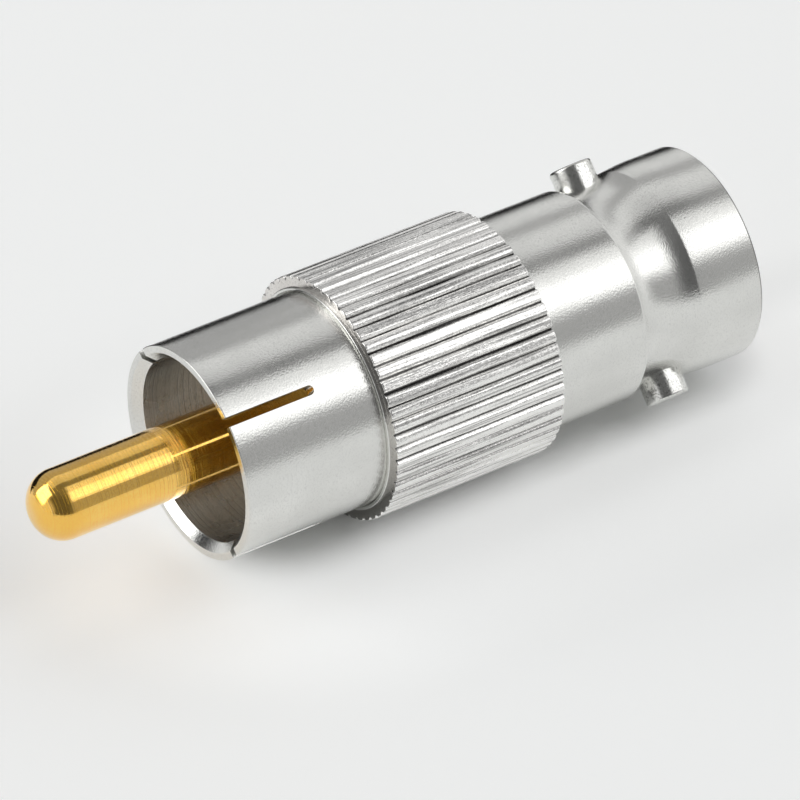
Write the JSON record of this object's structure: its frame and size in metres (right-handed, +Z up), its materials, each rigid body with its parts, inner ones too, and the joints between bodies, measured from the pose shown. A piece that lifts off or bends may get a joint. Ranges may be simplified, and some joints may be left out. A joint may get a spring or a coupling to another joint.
{
  "type": "bnc to rca adapter",
  "caption": "Straight coaxial adapter in nickel-plated brass: a bayonet jack with side lugs at one end, a knurled collar, and a phono plug with a gold pin and slotted sleeve at the other.",
  "frame": {"origin": "on the axis, at the knurled collar's front face, where the plug's pin leaves its insulator", "axes": "+X along the axis, out of the bayonet jack's mouth, so -X is out of the phono plug; +Z up, with the adapter lying on two teeth of its collar"},
  "size_m": [0.0341, 0.0112, 0.0112],
  "materials": {
    "nickel": "satin nickel plate",
    "gold": "polished gold plate",
    "dielectric": "matt",
    "insulator": "matt"
  },
  "bodies": {
    "root": {"jack_body": "nickel", "bayonet_lug_1": "nickel", "bayonet_lug_2": "nickel", "phono_sleeve": "nickel", "phono_insulator": "insulator", "phono_pin": "gold", "socket_contact": "gold", "jack_dielectric": "dielectric"}
  },
  "joints": []
}
